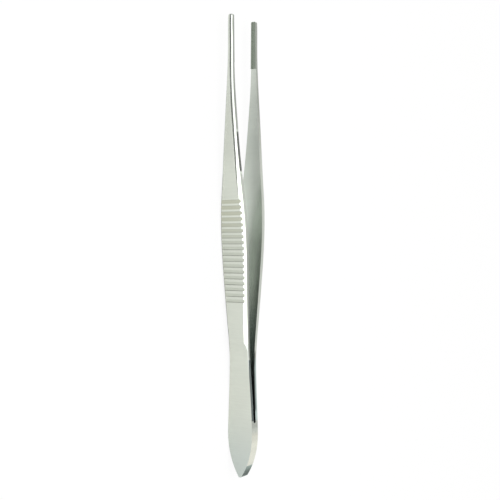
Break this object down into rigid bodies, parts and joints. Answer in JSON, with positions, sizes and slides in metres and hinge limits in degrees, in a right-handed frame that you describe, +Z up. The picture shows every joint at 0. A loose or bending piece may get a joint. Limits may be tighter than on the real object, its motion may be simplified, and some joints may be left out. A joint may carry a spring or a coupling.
{
  "type": "thumb forceps",
  "caption": "Slender thumb forceps: two bevelled spring arms welded at a pointed leaf-shaped butt, with cross-grooved grips and fine toothed jaws.",
  "frame": {"origin": "middle of the bounding box's lower face, on the surface that the forceps lie on", "axes": "+Z up across the arms' width, -X along the forceps towards the tips, -Y out of the front arm's outer face; the weld plane is y = 0"},
  "size_m": [0.15, 0.0156, 0.0098],
  "materials": {
    "front_steel": "satin ground flats with polished bevels",
    "rear_steel": "satin ground flats with polished bevels"
  },
  "bodies": {
    "root": {"front_arm": "front_steel", "rear_arm": "rear_steel"}
  },
  "joints": []
}
